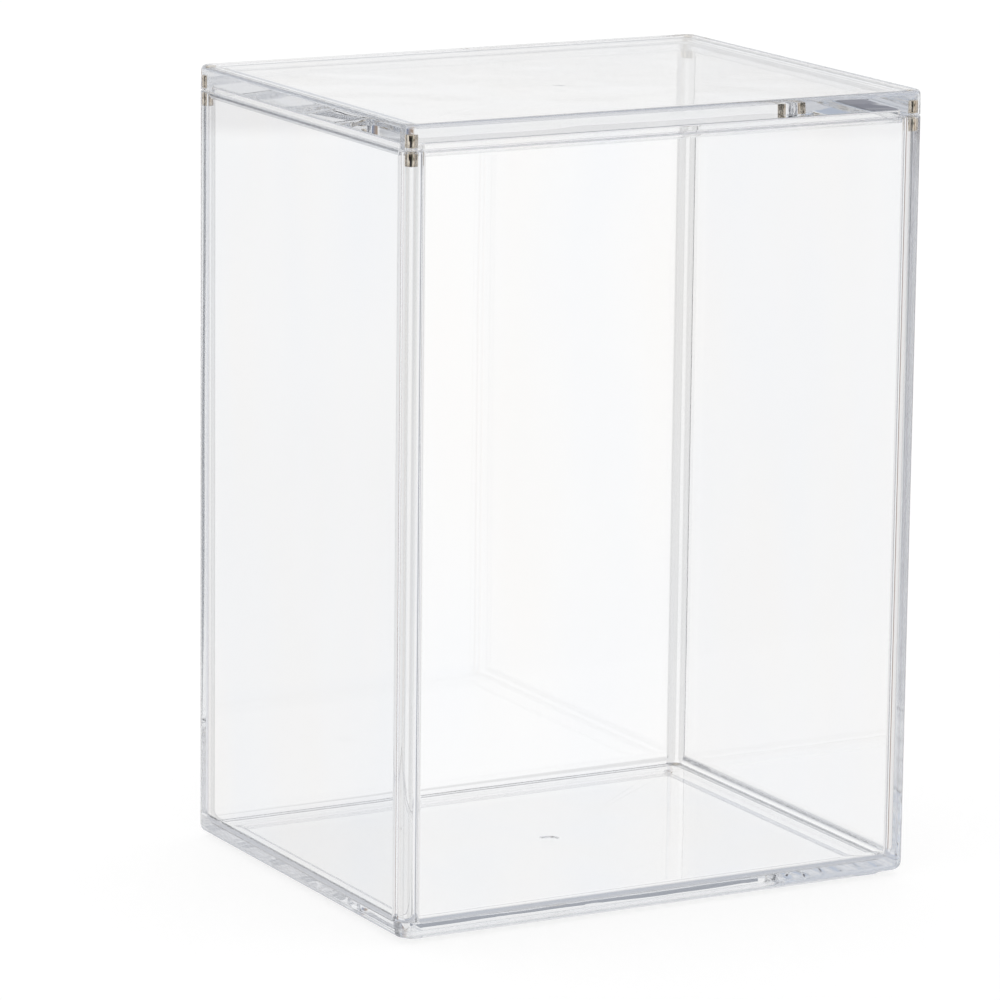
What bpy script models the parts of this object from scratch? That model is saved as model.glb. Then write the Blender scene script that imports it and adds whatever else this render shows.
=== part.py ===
"""Clear display box with a lift-off lid that small magnets hold shut.

Metres, +Z up. The origin is on the ground, in the middle of the box's foot.
The base is a deep moulding with a post in each corner. The lid is a thick plate
with a low rib under it, which drops inside the base's walls and round its posts. A
round magnet sits in a blind pocket in every post and in every corner of the lid, so
each corner has a facing pair of magnets across the seam.
"""

import math

import bmesh
import bpy
from mathutils import Vector

# Outside of the closed box
BOX_WIDTH = 0.126
BOX_DEPTH = 0.100
BOX_HEIGHT = 0.175
CORNER_RADIUS = 0.0032

# Both mouldings
WALL = 0.0020
SEAM_GAP = 0.0003
RIM_OUTER_ROUND = 0.00025
RIM_INNER_CHAMFER = 0.0006

# Base moulding
FLOOR_THICKNESS = 0.0025
FLOOR_FILLET = 0.0024
CAVITY_CORNER_RADIUS = 0.0032
BASE_EDGE_ROUND = 0.0018
BASE_POST_WALL = 0.0008
POST_FLARE = 0.0022
POST_FLARE_SINK = 0.0002

# Stacking foot under the base, a low ring
FOOT_HEIGHT = 0.0012
FOOT_INSET = 0.0036
FOOT_WIDTH = 0.0050
FOOT_CORNER_RADIUS = 0.0030
FOOT_RECESS_RADIUS = 0.0010
FOOT_EDGE_ROUND = 0.0005

# Lid moulding
LID_SKIN = 0.0021
LID_PLATE = 0.0044
LID_TAPER = 0.0001
LID_TOP_ROUND = 0.0010
LID_FILLET = 0.0005

# Locating rib under the lid
RIB_DROP = 0.0017
RIB_CLEARANCE = 0.0003
RIB_THICKNESS = 0.0021
RIB_POST_THICKNESS = 0.0010
RIB_FOOT_ROUND = 0.0004
RIB_CORNER_RADIUS = 0.0010

# Magnets, and the pockets that hold them
MAGNET_DIAMETER = 0.0020
MAGNET_LENGTH = 0.0028
MAGNET_EDGE_ROUND = 0.00015
BASE_MAGNET_RECESS = 0.00045
LID_MAGNET_RECESS = 0.0003
POCKET_CLEARANCE = 0.0002
POCKET_SKIN = 0.0014

# Round marks left where each moulding was filled: one in the middle of the floor's
# upper face, one on the lid's ceiling, a little left of the middle and in front of it
FLOOR_MARK_DIAMETER = 0.0048
LID_MARK_DIAMETER = 0.0022
LID_MARK_LEFT = 0.0050
LID_MARK_FORWARD = 0.0100
MARK_DEPTH = 0.0003

# How far a cutter runs past what it cuts, and a joined solid into its neighbour
CUT_OVERRUN = 0.0010
MERGE_DISTANCE = 0.00001

# Facets in each round
CORNER_SEGMENTS = 8
ROUND_SEGMENTS = 4
EDGE_SEGMENTS = 2
POST_SEGMENTS = 48
MAGNET_SEGMENTS = 28

# Sizes that follow from the ones above
POCKET_RADIUS = MAGNET_DIAMETER / 2 + POCKET_CLEARANCE
BASE_POCKET_DEPTH = BASE_MAGNET_RECESS + MAGNET_LENGTH + POCKET_CLEARANCE
LID_POCKET_DEPTH = LID_MAGNET_RECESS + MAGNET_LENGTH + POCKET_CLEARANCE
POST_INSET = POCKET_SKIN + POCKET_RADIUS
BASE_POST_RADIUS = POCKET_RADIUS + BASE_POST_WALL
RIB_SOCKET_RADIUS = BASE_POST_RADIUS + RIB_CLEARANCE
RIB_POST_RADIUS = RIB_SOCKET_RADIUS + RIB_POST_THICKNESS
LID_HEIGHT = LID_POCKET_DEPTH + LID_SKIN
SEAM_HEIGHT = BOX_HEIGHT - LID_HEIGHT
RIM_HEIGHT = SEAM_HEIGHT - SEAM_GAP
RIB_FOOT = SEAM_HEIGHT - RIB_DROP
FLOOR_TOP = FOOT_HEIGHT + FLOOR_THICKNESS
LID_CEILING = BOX_HEIGHT - LID_PLATE
CAVITY_WIDTH = BOX_WIDTH - 2 * WALL
CAVITY_DEPTH = BOX_DEPTH - 2 * WALL
RIB_WIDTH = CAVITY_WIDTH - 2 * RIB_CLEARANCE
RIB_DEPTH = CAVITY_DEPTH - 2 * RIB_CLEARANCE

# Signs of X and Y at the four corners, the front towards -Y and the left towards -X
CORNERS = {
    "front_left": (-1, -1),
    "front_right": (1, -1),
    "back_right": (1, 1),
    "back_left": (-1, 1),
}


def clear_scene():
    for item in list(bpy.data.objects):
        bpy.data.objects.remove(item, do_unlink=True)


def new_collection(name):
    collection = bpy.data.collections.new(name)
    bpy.context.scene.collection.children.link(collection)
    return collection


def new_material(name, colour, roughness, metallic, transmission, ior):
    material = bpy.data.materials.new(name)
    material.use_nodes = True
    shader = material.node_tree.nodes["Principled BSDF"]
    shader.inputs["Base Color"].default_value = (*colour, 1.0)
    shader.inputs["Roughness"].default_value = roughness
    shader.inputs["Metallic"].default_value = metallic
    shader.inputs["Transmission Weight"].default_value = transmission
    shader.inputs["IOR"].default_value = ior
    return material


def new_mesh(name, form):
    """A mesh from a bmesh, with round sides shaded smooth."""
    mesh = bpy.data.meshes.new(name)
    form.to_mesh(mesh)
    form.free()
    mesh.shade_smooth()
    mesh.set_sharp_from_angle(angle=math.radians(40))
    return mesh


def add_object(name, mesh, collection, location=(0.0, 0.0, 0.0), parent=None):
    item = bpy.data.objects.new(name, mesh)
    item.location = location
    item.parent = parent
    collection.objects.link(item)
    return item


def add_cutter(name, form, cutters, location=(0.0, 0.0, 0.0)):
    cutter = add_object(name, new_mesh(name, form), cutters, location)
    cutter.hide_render = True
    cutter.display_type = "WIRE"
    return cutter


def combine(item, other, operation):
    boolean = item.modifiers.new(operation.title() + " " + other.name, "BOOLEAN")
    boolean.operation = operation
    boolean.solver = "EXACT"
    boolean.object = other


def round_edges(form, edges, width, segments):
    bmesh.ops.bevel(
        form,
        geom=edges,
        offset=width,
        offset_type="OFFSET",
        segments=segments,
        profile=0.5,
        affect="EDGES",
        clamp_overlap=False,
    )


def level_edges(form, height):
    """Edges that lie flat at one height."""
    return [
        edge for edge in form.edges
        if all(abs(vertex.co.z - height) < MERGE_DISTANCE for vertex in edge.verts)
    ]


def block(width, depth, height, radius, taper=0.0):
    """A block standing on its own origin with rounded upright edges, its top smaller
    than its bottom by the taper on each side."""
    form = bmesh.new()
    bmesh.ops.create_cube(form, size=1.0)
    for vertex in form.verts:
        raised = vertex.co.z > 0
        inset = taper if raised else 0.0
        vertex.co.x = math.copysign(width / 2 - inset, vertex.co.x)
        vertex.co.y = math.copysign(depth / 2 - inset, vertex.co.y)
        vertex.co.z = height if raised else 0.0
    upright = [edge for edge in form.edges if edge.verts[0].co.z != edge.verts[1].co.z]
    round_edges(form, upright, radius, CORNER_SEGMENTS)
    return form


def cylinder(radius, height, segments):
    """An upright cylinder standing on its own origin."""
    form = bmesh.new()
    bmesh.ops.create_cone(
        form, cap_ends=True, segments=segments, radius1=radius, radius2=radius, depth=height
    )
    bmesh.ops.translate(form, verts=form.verts, vec=Vector((0.0, 0.0, height / 2)))
    return form


def corner_point(signs, height):
    """The axis of the post, pocket and magnet in one corner, at one height."""
    return (
        signs[0] * (BOX_WIDTH / 2 - POST_INSET),
        signs[1] * (BOX_DEPTH / 2 - POST_INSET),
        height,
    )


def rim_chamfer(cutters):
    """A cutter that bevels the inner edge of the base's rim."""
    rise = RIM_INNER_CHAMFER + 2 * CUT_OVERRUN
    form = block(
        CAVITY_WIDTH - 2 * CUT_OVERRUN, CAVITY_DEPTH - 2 * CUT_OVERRUN, rise,
        CAVITY_CORNER_RADIUS, taper=-rise,
    )
    start = RIM_HEIGHT - RIM_INNER_CHAMFER - CUT_OVERRUN
    return add_cutter("base_rim_chamfer", form, cutters, (0.0, 0.0, start))


def flared_post(name, centre, height, cutters):
    """A corner post whose side sweeps out into the floor, turned about its own axis.
    It starts below the floor, and its sweep dips a little under the floor's surface."""
    outline = [(0.0, height), (BASE_POST_RADIUS, height)]
    for step in range(ROUND_SEGMENTS + 1):
        angle = math.pi / 2 * step / ROUND_SEGMENTS
        outline.append((
            BASE_POST_RADIUS + POST_FLARE * (1 - math.cos(angle)),
            CUT_OVERRUN - POST_FLARE_SINK + POST_FLARE * (1 - math.sin(angle)),
        ))
    outline.append((BASE_POST_RADIUS + POST_FLARE, 0.0))
    outline.append((0.0, 0.0))
    form = bmesh.new()
    points = [form.verts.new((reach, 0.0, level)) for reach, level in outline]
    for upper, lower in zip(points, points[1:]):
        form.edges.new((upper, lower))
    post = add_cutter(name, form, cutters, centre)
    screw = post.modifiers.new("Turn", "SCREW")
    screw.steps = POST_SEGMENTS
    screw.render_steps = POST_SEGMENTS
    screw.use_merge_vertices = True
    screw.merge_threshold = MERGE_DISTANCE
    return post


def drill(item, label, radius, depth, centre, cutters):
    """Sink one blind round hole, its lower end at the centre given."""
    hole = add_cutter(label, cylinder(radius, depth, MAGNET_SEGMENTS), cutters, centre)
    combine(item, hole, "DIFFERENCE")


def add_foot(base, cutters):
    """Join the ring that the box stands on, rounded along its lower edges."""
    width = BOX_WIDTH - 2 * FOOT_INSET
    depth = BOX_DEPTH - 2 * FOOT_INSET
    ring = block(width, depth, FOOT_HEIGHT + CUT_OVERRUN, FOOT_CORNER_RADIUS)
    round_edges(ring, level_edges(ring, 0.0), FOOT_EDGE_ROUND, EDGE_SEGMENTS)
    combine(base, add_cutter("foot", ring, cutters), "UNION")

    hollow = block(
        width - 2 * FOOT_WIDTH, depth - 2 * FOOT_WIDTH, FOOT_HEIGHT + CUT_OVERRUN,
        FOOT_RECESS_RADIUS,
    )
    recess = add_cutter("foot_recess", hollow, cutters, (0.0, 0.0, -CUT_OVERRUN))
    combine(base, recess, "DIFFERENCE")


def make_base(parts, cutters, material):
    height = RIM_HEIGHT - FOOT_HEIGHT
    body = block(BOX_WIDTH, BOX_DEPTH, height, CORNER_RADIUS)
    round_edges(body, level_edges(body, 0.0), BASE_EDGE_ROUND, ROUND_SEGMENTS)
    round_edges(body, level_edges(body, height), RIM_OUTER_ROUND, EDGE_SEGMENTS)
    base = add_object("base_moulding", new_mesh("base_moulding", body), parts, (0.0, 0.0, FOOT_HEIGHT))
    base.data.materials.append(material)
    add_foot(base, cutters)

    room = block(
        CAVITY_WIDTH, CAVITY_DEPTH, RIM_HEIGHT - FLOOR_TOP + CUT_OVERRUN, CAVITY_CORNER_RADIUS
    )
    round_edges(room, level_edges(room, 0.0), FLOOR_FILLET, ROUND_SEGMENTS)
    cavity = add_cutter("cavity", room, cutters, (0.0, 0.0, FLOOR_TOP))
    combine(cavity, rim_chamfer(cutters), "UNION")
    post_height = RIM_HEIGHT - FLOOR_TOP + 3 * CUT_OVERRUN
    for corner, signs in CORNERS.items():
        foot_point = corner_point(signs, FLOOR_TOP - CUT_OVERRUN)
        post = flared_post("base_post_" + corner, foot_point, post_height, cutters)
        combine(cavity, post, "DIFFERENCE")
    combine(base, cavity, "DIFFERENCE")

    for corner, signs in CORNERS.items():
        bottom = corner_point(signs, RIM_HEIGHT - BASE_POCKET_DEPTH)
        drill(base, "base_pocket_" + corner, POCKET_RADIUS, BASE_POCKET_DEPTH + CUT_OVERRUN, bottom, cutters)
    mark_start = (0.0, 0.0, FLOOR_TOP - MARK_DEPTH)
    drill(base, "floor_mark", FLOOR_MARK_DIAMETER / 2, MARK_DEPTH + CUT_OVERRUN, mark_start, cutters)
    return base


def make_rib(cutters):
    """The low ring that drops inside the base, with a round socket for each base post."""
    ring = block(RIB_WIDTH, RIB_DEPTH, RIB_DROP + CUT_OVERRUN, RIB_CORNER_RADIUS)
    round_edges(ring, level_edges(ring, 0.0), RIB_FOOT_ROUND, EDGE_SEGMENTS)
    rib = add_cutter("lid_rib", ring, cutters, (0.0, 0.0, RIB_FOOT))
    for corner, signs in CORNERS.items():
        bottom = corner_point(signs, RIB_FOOT - CUT_OVERRUN)
        socket = cylinder(RIB_SOCKET_RADIUS, RIB_DROP + 3 * CUT_OVERRUN, POST_SEGMENTS)
        combine(rib, add_cutter("rib_socket_" + corner, socket, cutters, bottom), "DIFFERENCE")
    return rib


def make_lid(parts, cutters, material, carrier):
    body = block(BOX_WIDTH, BOX_DEPTH, LID_HEIGHT, CORNER_RADIUS, taper=LID_TAPER)
    round_edges(body, level_edges(body, LID_HEIGHT), LID_TOP_ROUND, ROUND_SEGMENTS)
    round_edges(body, level_edges(body, 0.0), RIM_OUTER_ROUND, EDGE_SEGMENTS)
    lid = add_object("lid_moulding", new_mesh("lid_moulding", body), parts, parent=carrier)
    lid.data.materials.append(material)
    combine(lid, make_rib(cutters), "UNION")

    # The shallow hollow inside the rib, which passes round each corner's pocket
    hollow_height = LID_CEILING - RIB_FOOT + CUT_OVERRUN
    room = block(
        RIB_WIDTH - 2 * RIB_THICKNESS, RIB_DEPTH - 2 * RIB_THICKNESS, hollow_height,
        RIB_CORNER_RADIUS,
    )
    round_edges(room, level_edges(room, hollow_height), LID_FILLET, EDGE_SEGMENTS)
    hollow = add_cutter("lid_hollow", room, cutters, (0.0, 0.0, RIB_FOOT - CUT_OVERRUN))
    for corner, signs in CORNERS.items():
        bottom = corner_point(signs, RIB_FOOT - 2 * CUT_OVERRUN)
        post = cylinder(RIB_POST_RADIUS, hollow_height + 2 * CUT_OVERRUN, POST_SEGMENTS)
        combine(hollow, add_cutter("lid_post_" + corner, post, cutters, bottom), "DIFFERENCE")
    combine(lid, hollow, "DIFFERENCE")

    for corner, signs in CORNERS.items():
        mouth = corner_point(signs, SEAM_HEIGHT - CUT_OVERRUN)
        drill(lid, "lid_pocket_" + corner, POCKET_RADIUS, LID_POCKET_DEPTH + CUT_OVERRUN, mouth, cutters)
    mark_start = (-LID_MARK_LEFT, -LID_MARK_FORWARD, LID_CEILING - CUT_OVERRUN)
    drill(lid, "lid_mark", LID_MARK_DIAMETER / 2, MARK_DEPTH + CUT_OVERRUN, mark_start, cutters)
    return lid


def make_magnets(parts, material, carrier):
    """Eight equal magnets: in each corner one below the seam and one above it."""
    form = cylinder(MAGNET_DIAMETER / 2, MAGNET_LENGTH, MAGNET_SEGMENTS)
    ends = level_edges(form, 0.0) + level_edges(form, MAGNET_LENGTH)
    round_edges(form, ends, MAGNET_EDGE_ROUND, EDGE_SEGMENTS)
    magnet = new_mesh("magnet", form)
    magnet.materials.append(material)
    base_level = RIM_HEIGHT - BASE_MAGNET_RECESS - MAGNET_LENGTH
    for corner, signs in CORNERS.items():
        add_object("base_magnet_" + corner, magnet, parts, corner_point(signs, base_level))
        lid_place = corner_point(signs, LID_MAGNET_RECESS)
        add_object("lid_magnet_" + corner, magnet, parts, lid_place, carrier)


def main():
    clear_scene()
    parts = new_collection("Clear magnetic display box")
    cutters = new_collection("Cutters")
    clear_plastic = new_material("Clear plastic", (0.97, 0.98, 0.98), 0.02, 0.0, 1.0, 1.55)
    nickel = new_material("Nickel plate", (0.68, 0.64, 0.56), 0.18, 1.0, 0.0, 1.5)

    # The lid lifts straight up from the seam, along the box's middle line
    lid_lift = add_object("lid_lift", None, parts, (0.0, 0.0, SEAM_HEIGHT))
    lid_lift.empty_display_size = LID_HEIGHT

    make_base(parts, cutters, clear_plastic)
    make_lid(parts, cutters, clear_plastic, lid_lift)
    make_magnets(parts, nickel, lid_lift)


main()
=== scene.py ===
import bpy
import bmesh
import math
from mathutils import Matrix, Vector


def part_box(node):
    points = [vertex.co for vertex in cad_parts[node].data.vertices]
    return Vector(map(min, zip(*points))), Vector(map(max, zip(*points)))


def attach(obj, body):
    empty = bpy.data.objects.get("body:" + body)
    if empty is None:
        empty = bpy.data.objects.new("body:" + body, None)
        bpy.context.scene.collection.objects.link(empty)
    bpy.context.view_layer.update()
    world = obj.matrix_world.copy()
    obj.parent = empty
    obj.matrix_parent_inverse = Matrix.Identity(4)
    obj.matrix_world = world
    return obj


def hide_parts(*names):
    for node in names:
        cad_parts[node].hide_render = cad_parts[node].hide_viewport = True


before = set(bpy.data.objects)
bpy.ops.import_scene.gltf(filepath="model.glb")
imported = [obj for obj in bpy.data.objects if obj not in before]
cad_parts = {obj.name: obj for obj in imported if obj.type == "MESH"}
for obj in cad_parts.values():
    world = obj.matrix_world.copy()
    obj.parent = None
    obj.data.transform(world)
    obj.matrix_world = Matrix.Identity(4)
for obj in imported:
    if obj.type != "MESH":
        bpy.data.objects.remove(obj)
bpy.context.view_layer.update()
scene = bpy.context.scene
mm = 0.001
sharpAngle = math.radians(35.0)  # edges sharper than this keep a crisp line
print("clear box: packed model loaded")

# sizes that several pieces share, in millimetres
box = {
    "width": 126.0,
    "depth": 100.0,
    "height": 175.0,
    "cornerRadius": 3.2,
    "tightest": 0.8,      # smallest corner radius of an outside outline
    "wall": 2.0,
    "lidHeight": 5.4,
    "seamGap": 0.3,
    "postInset": 2.6,     # post and magnet axis, from both outer faces
    "pocketRadius": 0.98,  # a hair under the magnet's, so that plastic touches metal
    "capRadius": 20.0,    # ring inside each wide flat face, to keep its shading even
    "overrun": 2.0,       # how far a pocket cutter stands out of its opening
    "roundSegments": 64,
    "straightSteps": 14,  # points along a flat side
    "blendSteps": 6,      # points in the small hollow beside a post
    "postSteps": 20,      # points round a post
    "sharpest": 0.05,     # smallest hollow that still gets its points
}
seam = box["height"] - box["lidHeight"]
rim = seam - box["seamGap"]
cornerSteps = 2 * box["blendSteps"] + box["postSteps"]


# one corner of an outside outline, as distances in from the two faces that meet there
def roundCorner(inset, radius):
    spots = []
    for step in range(cornerSteps + 1):
        turn = math.pi / 2 * step / cornerSteps
        inA, inB = radius * (1 - math.cos(turn)), radius * (1 - math.sin(turn))
        spots.append((inset + inA, inset + inB))
    return spots


# one corner of an inside outline: wall, small hollow, round post, small hollow, wall
def postCorner(inset, radius, blend):
    axis = box["postInset"]
    centreA = inset + blend
    centreB = axis + math.sqrt(max((radius + blend) ** 2 - (centreA - axis) ** 2, 0.0))
    touch = math.atan2(centreB - axis, centreA - axis)  # where the post meets the hollow
    half = []
    for step in range(box["blendSteps"]):
        turn = math.pi + touch * step / box["blendSteps"]
        half.append((centreA + blend * math.cos(turn), centreB + blend * math.sin(turn)))
    spots = list(half)
    for step in range(box["postSteps"] + 1):
        turn = touch + (math.pi / 2 - 2 * touch) * step / box["postSteps"]
        spots.append((axis + radius * math.cos(turn), axis + radius * math.sin(turn)))
    spots += [(b, a) for a, b in reversed(half)]
    return spots


# a closed outline at one height, anticlockwise from above
def outline(corner, height):
    halfX, halfY = box["width"] / 2, box["depth"] / 2
    turns = (
        lambda a, b: (halfX - a, halfY - b),
        lambda a, b: (b - halfX, halfY - a),
        lambda a, b: (a - halfX, b - halfY),
        lambda a, b: (halfX - b, a - halfY),
    )
    corners = [[turn(a, b) for a, b in corner] for turn in turns]
    ring = []
    for index, spots in enumerate(corners):
        ring += spots
        start, end = spots[-1], corners[(index + 1) % 4][0]
        for step in range(1, box["straightSteps"]):
            along = step / box["straightSteps"]
            x = start[0] + (end[0] - start[0]) * along
            y = start[1] + (end[1] - start[1]) * along
            ring.append((x, y))
    return [Vector((x, y, height)) * mm for x, y in ring]


# a round outline whose points face the same way as those of an outline round the box
def roundOutline(radius, height, like, centre=(0.0, 0.0)):
    ring = []
    middle = Vector((centre[0], centre[1])) * mm
    for spot in like:
        heading = (Vector((spot.x, spot.y)) - middle).normalized()
        spread = heading * radius * mm
        ring.append(Vector((middle.x + spread.x, middle.y + spread.y, height * mm)))
    return ring


# skin between outlines of equal length, closed at both ends
def loft(name, rings):
    form = bmesh.new()
    layers = [[form.verts.new(spot) for spot in ring] for ring in rings]
    for lower, upper in zip(layers, layers[1:]):
        for index in range(len(lower)):
            after = (index + 1) % len(lower)
            form.faces.new((lower[index], lower[after], upper[after], upper[index]))
    form.faces.new(list(reversed(layers[0])))
    form.faces.new(layers[-1])
    bmesh.ops.recalc_face_normals(form, faces=form.faces)
    return finishMesh(name, form)


# a mesh object in the scene, smooth apart from its sharp edges
def finishMesh(name, form):
    mesh = bpy.data.meshes.new(name)
    form.to_mesh(mesh)
    form.free()
    mesh.shade_smooth()
    mesh.set_sharp_from_angle(angle=sharpAngle)
    piece = bpy.data.objects.new(name, mesh)
    scene.collection.objects.link(piece)
    return piece


# a quarter round from one direction to another, as (run, rise) pairs from 0 to 1
def quarter(steps):
    turns = [math.pi / 2 * step / steps for step in range(steps + 1)]
    return [(1 - math.cos(turn), math.sin(turn)) for turn in turns]


# cut the four magnet pockets between two heights
def sinkPockets(piece, low, high):
    cutters = []
    for signX in (-1, 1):
        for signY in (-1, 1):
            form = bmesh.new()
            bmesh.ops.create_cone(
                form, cap_ends=True, segments=box["roundSegments"], depth=(high - low) * mm,
                radius1=box["pocketRadius"] * mm, radius2=box["pocketRadius"] * mm,
            )
            spot = Vector((
                signX * (box["width"] / 2 - box["postInset"]),
                signY * (box["depth"] / 2 - box["postInset"]),
                (low + high) / 2,
            ))
            bmesh.ops.translate(form, verts=form.verts, vec=spot * mm)
            cutters.append(finishMesh("pocketCutter", form))
    for cutter in cutters:
        cut = piece.modifiers.new("pocket", "BOOLEAN")
        cut.operation = "DIFFERENCE"
        cut.solver = "EXACT"
        cut.object = cutter
    settle(piece)
    for cutter in cutters:
        bpy.data.objects.remove(cutter)


# bake the modifiers into the mesh, then even out the shading over its flat faces
def settle(piece):
    bpy.context.view_layer.update()
    ready = piece.evaluated_get(bpy.context.evaluated_depsgraph_get())
    mesh = bpy.data.meshes.new_from_object(ready)
    piece.modifiers.clear()
    piece.data = mesh
    mesh.shade_smooth()
    mesh.set_sharp_from_angle(angle=sharpAngle)
    even = piece.modifiers.new("evenShading", "WEIGHTED_NORMAL")
    even.mode = "FACE_AREA"
    even.keep_sharp = True
    even.weight = 100


def newMaterial(name):
    material = bpy.data.materials.new(name)
    material.use_nodes = True
    tree = material.node_tree
    return material, tree, tree.nodes["Principled BSDF"]


# add one node, its settings and the links or values of its inputs
def addNode(tree, kind, inputs=None, **settings):
    node = tree.nodes.new(kind)
    for key, value in settings.items():
        setattr(node, key, value)
    for key, value in (inputs or {}).items():
        if hasattr(value, "is_output"):
            tree.links.new(value, node.inputs[key])
        else:
            node.inputs[key].default_value = value
    return node


# cloudy noise over the piece, grains per metre, stretched by a scale along each axis
def cloud(tree, grains, detail, stretch=(1.0, 1.0, 1.0)):
    place = addNode(tree, "ShaderNodeTexCoord")
    spread = addNode(tree, "ShaderNodeMapping", {"Vector": place.outputs["Object"], "Scale": stretch})
    return addNode(tree, "ShaderNodeTexNoise", {
        "Vector": spread.outputs["Vector"], "Scale": grains, "Detail": detail, "Roughness": 0.5,
    })


def mapRange(tree, value, low, high, toLow, toHigh):
    return addNode(tree, "ShaderNodeMapRange", {
        0: value, 1: low, 2: high, 3: toLow, 4: toHigh,
    }, interpolation_type="SMOOTHSTEP").outputs[0]


clearPlastic = {
    "clear": (0.995, 0.995, 0.995),
    "coolTint": (0.982, 0.988, 0.997),    # where the melt cooled under strain
    "warmTint": (0.996, 0.990, 0.982),
    "ior": 1.58,
    "polish": (0.0, 0.008),               # roughness, from best to dullest
    "flowGrains": 40.0,                   # long shallow waves left by the mould, per metre
    "flowStretch": (1.0, 1.0, 0.3),       # they run up the walls
    "flowDetail": 1.0,
    "flowRise": 0.00003,
    "tintStops": (0.30, 0.50, 0.72),      # where the noise turns cool, clear and warm
    "dullStops": (0.50, 0.80),            # where the polish starts to dull and is dullest
    "depthColour": (0.88, 0.895, 0.92),   # what a long way through the plastic leaves
    "depthDensity": 3.5,                  # per metre
}


def makeClearPlastic():
    material, tree, shader = newMaterial("clearPlastic")
    links = tree.links
    shader.inputs["IOR"].default_value = clearPlastic["ior"]
    shader.inputs["Transmission Weight"].default_value = 1.0
    # faint lavender and peach streaks that run up the walls
    flow = cloud(
        tree, clearPlastic["flowGrains"], clearPlastic["flowDetail"], clearPlastic["flowStretch"],
    ).outputs["Fac"]
    cool, clear, warm = clearPlastic["tintStops"]
    tint = addNode(tree, "ShaderNodeValToRGB", {"Fac": flow})
    tint.color_ramp.elements[0].position = cool
    tint.color_ramp.elements[0].color = (*clearPlastic["coolTint"], 1.0)
    tint.color_ramp.elements[1].position = warm
    tint.color_ramp.elements[1].color = (*clearPlastic["warmTint"], 1.0)
    middle = tint.color_ramp.elements.new(clear)
    middle.color = (*clearPlastic["clear"], 1.0)
    links.new(tint.outputs["Color"], shader.inputs["Base Color"])
    # polish that dulls a little where the streaks are strongest, over the mould's waves
    dull = mapRange(tree, flow, *clearPlastic["dullStops"], *clearPlastic["polish"])
    links.new(dull, shader.inputs["Roughness"])
    wave = addNode(tree, "ShaderNodeBump", {
        "Height": flow, "Distance": clearPlastic["flowRise"], "Strength": 1.0,
    })
    links.new(wave.outputs["Normal"], shader.inputs["Normal"])
    # thick places look greyer and bluer than thin ones
    depth = addNode(tree, "ShaderNodeVolumeAbsorption", {
        "Color": (*clearPlastic["depthColour"], 1.0), "Density": clearPlastic["depthDensity"],
    })
    links.new(depth.outputs["Volume"], tree.nodes["Material Output"].inputs["Volume"])
    return material


nickelPlate = {
    "bright": (0.80, 0.73, 0.62),
    "dull": (0.64, 0.56, 0.45),
    "roughness": (0.05, 0.12),
    "patchGrains": 900.0,     # cloudy patches in the plating, per metre
    "patchDetail": 3.0,
    "toneStops": (0.38, 0.58),
    "dullStops": (0.35, 0.65),
    "lapLines": 2600.0,       # fine rings from grinding, per metre
    "lapStretch": (0.15, 0.15, 1.0),
    "lapDetail": 1.0,
    "lapRise": 0.000002,
}


def makeNickel():
    material, tree, shader = newMaterial("nickelPlate")
    links = tree.links
    shader.inputs["Metallic"].default_value = 1.0
    patches = cloud(tree, nickelPlate["patchGrains"], nickelPlate["patchDetail"])
    tone = addNode(tree, "ShaderNodeValToRGB", {"Fac": patches.outputs["Fac"]})
    tone.color_ramp.elements[0].position = nickelPlate["toneStops"][0]
    tone.color_ramp.elements[0].color = (*nickelPlate["dull"], 1.0)
    tone.color_ramp.elements[1].position = nickelPlate["toneStops"][1]
    tone.color_ramp.elements[1].color = (*nickelPlate["bright"], 1.0)
    links.new(tone.outputs["Color"], shader.inputs["Base Color"])
    shiny, rubbed = nickelPlate["roughness"]
    rough = mapRange(tree, patches.outputs["Fac"], *nickelPlate["dullStops"], rubbed, shiny)
    links.new(rough, shader.inputs["Roughness"])
    rings = cloud(tree, nickelPlate["lapLines"], nickelPlate["lapDetail"], nickelPlate["lapStretch"])
    bump = addNode(tree, "ShaderNodeBump", {
        "Height": rings.outputs["Fac"], "Distance": nickelPlate["lapRise"], "Strength": 1.0,
    })
    links.new(bump.outputs["Normal"], shader.inputs["Normal"])
    return material


plastic = makeClearPlastic()
nickel = makeNickel()
print("clear box: materials made")

# the deep base, in millimetres
base = {
    "floorTop": 3.7,
    "floorFillet": 2.5,
    "edgeRound": 1.8,
    "edgeSteps": 10,      # points round the body's lower edge
    "softSteps": 4,       # points round the small edges
    "rimSteps": 6,
    "filletSteps": 12,
    "footHeight": 1.2,
    "footInset": 3.6,
    "footRadius": 2.6,
    "footWidth": 5.0,
    "footRound": 0.5,
    "rimOutside": 0.2,
    "rimInside": 0.8,
    "postRadius": 2.0,
    "postEdge": 0.2,
    "hollow": 0.6,        # small hollow where a post meets the wall
    "markRadius": 2.4,
    "markDepth": 0.28,
    "markEdge": 0.5,      # width of the mark's sloping edge
    "recessRadius": 1.0,
    "pocketFloor": 166.07,
}


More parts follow.
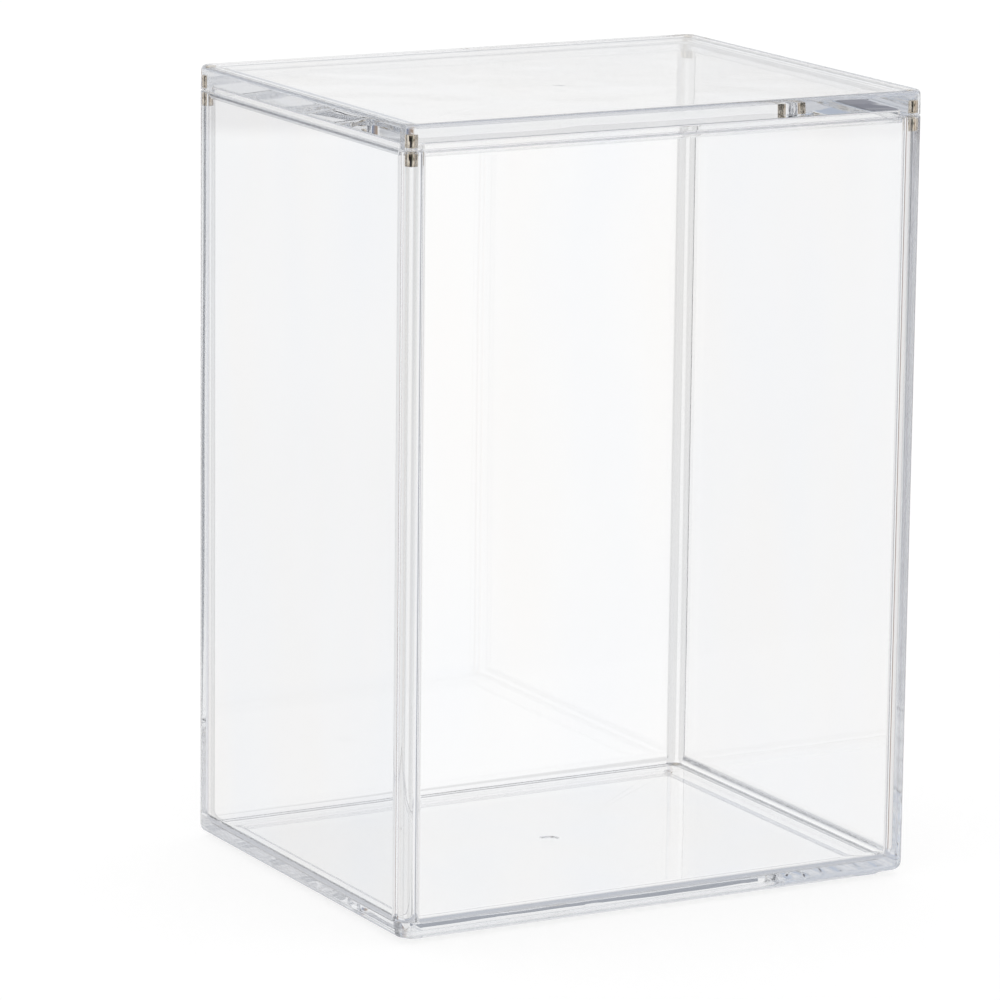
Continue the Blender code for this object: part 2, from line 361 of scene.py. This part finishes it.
def makeBase():
    foot, rings = base["footHeight"], []

    def outer(inset, height, radius=None):
        reach = radius if radius is not None else max(box["cornerRadius"] - inset, box["tightest"])
        rings.append(outline(roundCorner(inset, reach), height))

    def inner(inset, height, post, blend):
        rings.append(outline(postCorner(inset, post, blend), height))

    # underside: recess, foot ring, body edge
    footIn, footOut = base["footInset"] + base["footWidth"], base["footInset"]
    recess = outline(roundCorner(footIn, base["recessRadius"]), foot)
    rings.append(roundOutline(box["capRadius"], foot, recess))
    rings.append(recess)
    soft = base["footRound"]
    for run, rise in quarter(base["softSteps"]):
        outer(footIn - soft * run, soft * (1 - rise), base["recessRadius"] + soft * run)
    for run, rise in quarter(base["softSteps"]):
        outer(footOut + soft * (1 - rise), soft * run, base["footRadius"] - soft * (1 - rise))
    outer(footOut, foot, base["footRadius"])
    for run, rise in quarter(base["edgeSteps"]):
        outer(base["edgeRound"] * (1 - rise), foot + base["edgeRound"] * run)
    # outside wall and rim
    for run, rise in quarter(base["softSteps"]):
        outer(base["rimOutside"] * run, rim - base["rimOutside"] * (1 - rise))
    wall, soften = box["wall"], base["rimInside"]
    for run, rise in quarter(base["rimSteps"]):
        inner(
            wall - soften * (1 - rise), rim - soften * run,
            base["postRadius"] - base["postEdge"] * (1 - rise), base["hollow"] + soften * (1 - rise),
        )
    # down the inside to the floor
    sweep = base["floorFillet"]
    for run, rise in quarter(base["filletSteps"]):
        inner(
            wall + sweep * run, base["floorTop"] + sweep * (1 - rise),
            base["postRadius"] + sweep * run, max(base["hollow"] - sweep * run, box["sharpest"]),
        )
    edge = rings[-1]
    rings.append(roundOutline(base["markRadius"] + base["markEdge"], base["floorTop"], edge))
    rings.append(roundOutline(base["markRadius"], base["floorTop"] - base["markDepth"], edge))
    piece = loft("boxBase", rings)
    sinkPockets(piece, base["pocketFloor"], rim + box["overrun"])
    piece.data.materials.clear()
    piece.data.materials.append(plastic)
    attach(piece, "base")
    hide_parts("base_moulding")


makeBase()
print("clear box: base made")

# the lid: a thick plate with a low rib that drops inside the base
lid = {
    "plate": 4.4,
    "topRound": 1.0,
    "topSteps": 10,       # points round the top edge
    "softSteps": 4,       # points round the small edges
    "filletSteps": 6,
    "taper": 0.1,
    "seamOutside": 0.2,
    "ribFoot": 167.9,     # lowest edge of the locating rib, inside the base
    "ribOutside": 2.3,    # rib faces, in from the outer faces
    "ribInside": 4.4,
    "ribSoft": 0.4,
    "ribPost": 3.3,       # rib's inner face round each post
    "ribPostOutside": 2.3,
    "ribHollow": 0.3,     # hollow between rib and post on the outer face
    "fillet": 0.5,
    "hollow": 0.6,
    "markRadius": 1.1,
    "markDepth": 0.25,
    "markEdge": 0.4,
    "markPlace": (-5.0, -10.0),
    "pocketTop": 172.68,
}


def makeLid():
    rings = []

    def outer(inset, height):
        reach = max(box["cornerRadius"] - inset, box["tightest"])
        rings.append(outline(roundCorner(inset, reach), height))

    def inner(inset, height, post, blend):
        rings.append(outline(postCorner(inset, post, blend), height))

    # from the ceiling's small mark out to the rib and down to its foot
    ceiling, sweep, wall = box["height"] - lid["plate"], lid["fillet"], lid["ribInside"]
    edge = outline(postCorner(wall + sweep, lid["ribPost"] + sweep, lid["hollow"] - sweep), ceiling)
    rings.append(roundOutline(lid["markRadius"], ceiling + lid["markDepth"], edge, lid["markPlace"]))
    markTop = lid["markRadius"] + lid["markEdge"]
    rings.append(roundOutline(markTop, ceiling, edge, lid["markPlace"]))
    for run, rise in quarter(lid["filletSteps"]):
        inner(
            wall + sweep * (1 - rise), ceiling - sweep * run,
            lid["ribPost"] + sweep * (1 - rise), lid["hollow"] - sweep * (1 - rise),
        )
    soft = lid["ribSoft"]
    for run, rise in quarter(lid["softSteps"]):
        inner(
            wall - soft * run, lid["ribFoot"] + soft * (1 - rise),
            lid["ribPost"] - soft * run, lid["hollow"] + soft * run,
        )
    # up the rib's outer face to the border that rests over the base's walls
    for run, rise in quarter(lid["softSteps"]):
        inner(
            lid["ribOutside"] + soft * (1 - rise), lid["ribFoot"] + soft * run,
            lid["ribPostOutside"] + soft * (1 - rise), lid["ribHollow"],
        )
    inner(lid["ribOutside"], seam, lid["ribPostOutside"], lid["ribHollow"])
    # outside: seam edge, side, top edge
    for run, rise in quarter(lid["softSteps"]):
        outer(lid["seamOutside"] * (1 - rise), seam + lid["seamOutside"] * run)
    for run, rise in quarter(lid["topSteps"]):
        outer(lid["taper"] + lid["topRound"] * run, box["height"] - lid["topRound"] * (1 - rise))
    rings.append(roundOutline(box["capRadius"], box["height"], rings[-1]))
    piece = loft("boxLid", rings)
    sinkPockets(piece, seam - box["overrun"], lid["pocketTop"])
    piece.data.materials.clear()
    piece.data.materials.append(plastic)
    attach(piece, "lid")
    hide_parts("lid_moulding")


makeLid()
print("clear box: lid made")

magnet = {"radius": 1.0, "edge": 0.12, "edgeSteps": 4}


def makeMagnets():
    for body in ("base", "lid"):
        for side in ("front", "back"):
            for end in ("left", "right"):
                node = body + "_magnet_" + side + "_" + end
                low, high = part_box(node)
                middle = (low + high) / 2
                length = high.z - low.z
                form = bmesh.new()
                bmesh.ops.create_cone(
                    form, cap_ends=True, segments=box["roundSegments"], depth=length,
                    radius1=magnet["radius"] * mm, radius2=magnet["radius"] * mm,
                )
                rims = []
                for edge in form.edges:
                    if abs(edge.verts[0].co.z - edge.verts[1].co.z) < length / 2:
                        rims.append(edge)
                bmesh.ops.bevel(
                    form, geom=rims, offset=magnet["edge"] * mm, segments=magnet["edgeSteps"],
                    profile=0.5, affect="EDGES",
                )
                bmesh.ops.translate(form, verts=form.verts, vec=middle)
                piece = finishMesh(body + "Magnet" + side.title() + end.title(), form)
                piece.data.materials.append(nickel)
                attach(piece, body)
                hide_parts(node)


makeMagnets()
print("clear box: magnets made")

# The cards are soft patches of the room that only mirrored light finds, given by their
# heading from +X towards +Y and their height above the horizon, both in degrees.
studio = {
    "floorSize": 6.0,
    "floorDrop": 0.1,                  # keeps floor and foot from sharing one plane, in millimetres
    "floorGlow": 0.81,
    "floorShare": 0.28,
    "underBoxPaintedShadow": (0.965, 0.967, 0.972),  # painted shadow: the floor seen through plastic and metal is darker under the box
    "paintedShadowFadeWidth": 8.0,                  # how far the painted shadow fades outwards, in millimetres
    "room": (0.95, 0.95, 0.95),
    "backdrop": {"heading": 61.4, "half": 7.5, "soft": 3, "outside": 0.80},
    "cards": {
        "ground": {"heading": 0, "half": 190, "low": -99, "high": -22, "soft": 8,
                   "first": (0.50, 0.53, 0.59), "last": (0.54, 0.55, 0.58)},
        "frontGround": {"heading": -78, "half": 34, "low": -99, "high": -23, "soft": 3,
                        "first": (0.86, 0.87, 0.88), "last": (0.84, 0.86, 0.90)},
        "behindCamera": {"heading": -127, "half": 27, "low": -45, "high": 9.5, "soft": 3,
                         "first": (0.02, 0.03, 0.06), "last": (0.02, 0.02, 0.02)},
        "behindCameraHigh": {"heading": -137, "half": 41, "low": -8.95, "high": 9.5, "soft": 0.3,
                             "first": (0.02, 0.02, 0.03), "last": (0.02, 0.02, 0.02)},
        "besideCamera": {"heading": -87, "half": 15, "low": -12, "high": 10, "soft": 5,
                         "first": (0.20, 0.24, 0.22), "last": (0.50, 0.52, 0.50)},
        "besideLow": {"heading": -88, "half": 12, "low": -18, "high": -11, "soft": 2,
                      "first": (0.55, 0.55, 0.56), "last": (0.62, 0.62, 0.64)},
        "farLow": {"heading": 60, "half": 9, "low": -18, "high": -11.3, "soft": 1.4,
                   "first": (0.34, 0.36, 0.40), "last": (0.34, 0.36, 0.40)},
        "rightGap": {"heading": -39, "half": 8, "low": -40, "high": 9.5, "soft": 4,
                     "first": (0.42, 0.24, 0.10), "last": (0.10, 0.13, 0.20)},
        "rightRear": {"heading": 28, "half": 15, "low": -28, "high": 14, "soft": 7,
                      "first": (0.26, 0.32, 0.44), "last": (0.40, 0.30, 0.22)},
        "leftRear": {"heading": 127, "half": 24, "low": -32, "high": -8.6, "soft": 0.3,
                     "first": (0.70, 0.71, 0.72), "last": (0.62, 0.64, 0.72)},
        "leftHorizon": {"heading": 116, "half": 22, "low": -8.6, "high": -8.2, "soft": 0.2,
                        "first": (0.36, 0.30, 0.26), "last": (0.26, 0.29, 0.36)},
        "leftHorizonFar": {"heading": 116, "half": 22, "low": -8.2, "high": -2, "soft": 0.2,
                           "first": (0.10, 0.07, 0.05), "last": (0.04, 0.05, 0.08)},
        "leftRearHigh": {"heading": 120, "half": 20, "low": -2, "high": 34, "soft": 4,
                         "first": (0.56, 0.62, 0.72), "last": (0.46, 0.50, 0.58)},
        "farHigh": {"heading": 56, "half": 20, "low": 4, "high": 34, "soft": 8,
                    "first": (0.88, 0.88, 0.88), "last": (0.88, 0.88, 0.88)},
        "overFront": {"heading": 22, "half": 30, "low": 32, "high": 62, "soft": 8,
                      "first": (0.16, 0.16, 0.20), "last": (0.34, 0.36, 0.42)},
        "rightHorizon": {"heading": -60, "half": 11, "low": -8.2, "high": -2, "soft": 0.2,
                         "first": (0.03, 0.03, 0.04), "last": (0.03, 0.03, 0.04)},
    },
}


def mathNode(tree, operation, first, second=0.0):
    return addNode(tree, "ShaderNodeMath", {0: first, 1: second}, operation=operation).outputs[0]


def mixColour(tree, share, first, second):
    sockets = {0: share, 6: first, 7: second}
    return addNode(tree, "ShaderNodeMix", sockets, data_type="RGBA").outputs[2]


# an angle brought back to between half a turn left and half a turn right
def wrapTurn(tree, angle):
    limits = {0: angle, 1: math.pi, 2: -math.pi}
    return addNode(tree, "ShaderNodeMath", limits, operation="WRAP").outputs[0]


def makeFloor():
    form = bmesh.new()
    bmesh.ops.create_grid(form, x_segments=2, y_segments=2, size=studio["floorSize"] / 2)
    floor = finishMesh("studioFloor", form)
    floor.location = (0.0, 0.0, -studio["floorDrop"] * mm)
    material = bpy.data.materials.new("paleFloor")
    material.use_nodes = True
    tree = material.node_tree
    tree.nodes.clear()
    path = addNode(tree, "ShaderNodeLightPath")
    glow = addNode(tree, "ShaderNodeEmission", {
        "Strength": mathNode(tree, "MULTIPLY", path.outputs["Is Camera Ray"], studio["floorGlow"]),
    })
    share = studio["floorShare"]
    paint = addNode(tree, "ShaderNodeBsdfDiffuse", {"Color": (share, share, share, 1.0)})
    pale = addNode(tree, "ShaderNodeAddShader", {0: glow.outputs[0], 1: paint.outputs[0]})
    # plastic and metal look past the floor into the white room below, through a painted shadow under
    # the box
    glossy, through = path.outputs["Is Glossy Ray"], path.outputs["Is Transmission Ray"]
    look = mathNode(tree, "MAXIMUM", glossy, through)
    # painted shadow: a soft darker patch over the box's footprint, seen only through plastic and
    # metal, stands in for the box's own shadow
    place = addNode(tree, "ShaderNodeTexCoord")
    axes = addNode(tree, "ShaderNodeSeparateXYZ", {0: place.outputs["Object"]})
    past = []
    for axis, size in (("X", box["width"]), ("Y", box["depth"])):
        away = mathNode(tree, "ABSOLUTE", axes.outputs[axis])
        past.append(mathNode(tree, "SUBTRACT", away, size / 2 * mm))
    outside = mathNode(tree, "MAXIMUM", *past)
    under = mapRange(tree, outside, 0.0, studio["paintedShadowFadeWidth"] * mm, 1.0, 0.0)
    paintedShadowColour = mixColour(tree, under, (1.0, 1.0, 1.0, 1.0), (*studio["underBoxPaintedShadow"], 1.0))
    clear = addNode(tree, "ShaderNodeBsdfTransparent", {"Color": paintedShadowColour})
    either = addNode(tree, "ShaderNodeMixShader", {0: look, 1: pale.outputs[0], 2: clear.outputs[0]})
    addNode(tree, "ShaderNodeOutputMaterial", {"Surface": either.outputs[0]})
    floor.data.materials.append(material)


def makeWorld():
    world = bpy.data.worlds.new("studioLight")
    scene.world = world
    world.use_nodes = True
    world.cycles.sampling_method = "NONE"  # mostly one white, so rays find it by themselves
    tree = world.node_tree
    background = tree.nodes["Background"]
    place = addNode(tree, "ShaderNodeTexCoord")
    axes = addNode(tree, "ShaderNodeSeparateXYZ", {0: place.outputs["Generated"]})
    heading = mathNode(tree, "ARCTAN2", axes.outputs["Y"], axes.outputs["X"])
    height = mathNode(tree, "ARCSINE", axes.outputs["Z"])
    colour = (*studio["room"], 1.0)
    for card in studio["cards"].values():
        half, soft = math.radians(card["half"]), math.radians(card["soft"])
        off = mathNode(tree, "SUBTRACT", heading, math.radians(card["heading"]))
        turn = wrapTurn(tree, off)
        away = mathNode(tree, "ABSOLUTE", turn)
        side = mapRange(tree, away, half + soft / 2, half - soft / 2, 0.0, 1.0)
        low, high = math.radians(card["low"]), math.radians(card["high"])
        floorEdge = mapRange(tree, height, low - soft / 2, low + soft / 2, 0.0, 1.0)
        topEdge = mapRange(tree, height, high + soft / 2, high - soft / 2, 0.0, 1.0)
        share = mathNode(tree, "MULTIPLY", side, mathNode(tree, "MULTIPLY", floorEdge, topEdge))
        across = mapRange(tree, turn, -half, half, 0.0, 1.0)
        tone = mixColour(tree, across, (*card["first"], 1.0), (*card["last"], 1.0))
        colour = mixColour(tree, share, colour, tone)
    # what isn't mirrored on its way finds the white backdrop, or the duller room beside it
    path = addNode(tree, "ShaderNodeLightPath")
    white = studio["backdrop"]
    off = mathNode(tree, "SUBTRACT", heading, math.radians(white["heading"]))
    away = mathNode(tree, "ABSOLUTE", wrapTurn(tree, off))
    half, soft = math.radians(white["half"]), math.radians(white["soft"])
    inside = mapRange(tree, away, half + soft / 2, half - soft / 2, white["outside"], 1.0)
    straight = mathNode(tree, "MAXIMUM", inside, path.outputs["Is Camera Ray"])
    mirrored = mathNode(tree, "GREATER_THAN", path.outputs["Glossy Depth"], 0.5)
    tree.links.new(mixColour(tree, mirrored, straight, colour), background.inputs["Color"])
    background.inputs["Strength"].default_value = 1.0


makeFloor()
makeWorld()

# camera at the photograph's viewing angle: pixels for the lens, millimetres for places
view = {
    "azimuth": -28.5645, "elevation": 12.1471, "roll": 0.657,
    "focal": 5892.75, "distance": 1297.65, "right": -11.504, "up": -6.386, "aim": 87.5,
    "frame": 1000.0, "sensor": 36.0,
}


def makeCamera():
    turn, tilt, roll = (math.radians(view[key]) for key in ("azimuth", "elevation", "roll"))
    back = Vector((math.sin(turn) * math.cos(tilt), -math.cos(turn) * math.cos(tilt), math.sin(tilt)))
    level = Vector((math.cos(turn), math.sin(turn), 0.0))
    upright = back.cross(level)
    right = level * math.cos(roll) + upright * math.sin(roll)
    up = upright * math.cos(roll) - level * math.sin(roll)
    lens = bpy.data.cameras.new("photoCamera")
    lens.sensor_width = view["sensor"]
    lens.lens = view["focal"] * view["sensor"] / view["frame"]
    lens.clip_start, lens.clip_end = 0.01, 50.0
    camera = bpy.data.objects.new("photoCamera", lens)
    place = Vector((0.0, 0.0, view["aim"])) + back * view["distance"]
    place += right * view["right"] + up * view["up"]
    turnTo = Matrix((right, up, back)).transposed().to_4x4()
    camera.matrix_world = Matrix.Translation(place * mm) @ turnTo
    scene.collection.objects.link(camera)
    scene.camera = camera


makeCamera()
scene.view_settings.view_transform = "Standard"
bounces = 128  # light runs a long way inside the walls and the lid's plate
scene.cycles.max_bounces = bounces
scene.cycles.glossy_bounces = bounces
scene.cycles.transmission_bounces = bounces
print("clear box: studio and camera made")
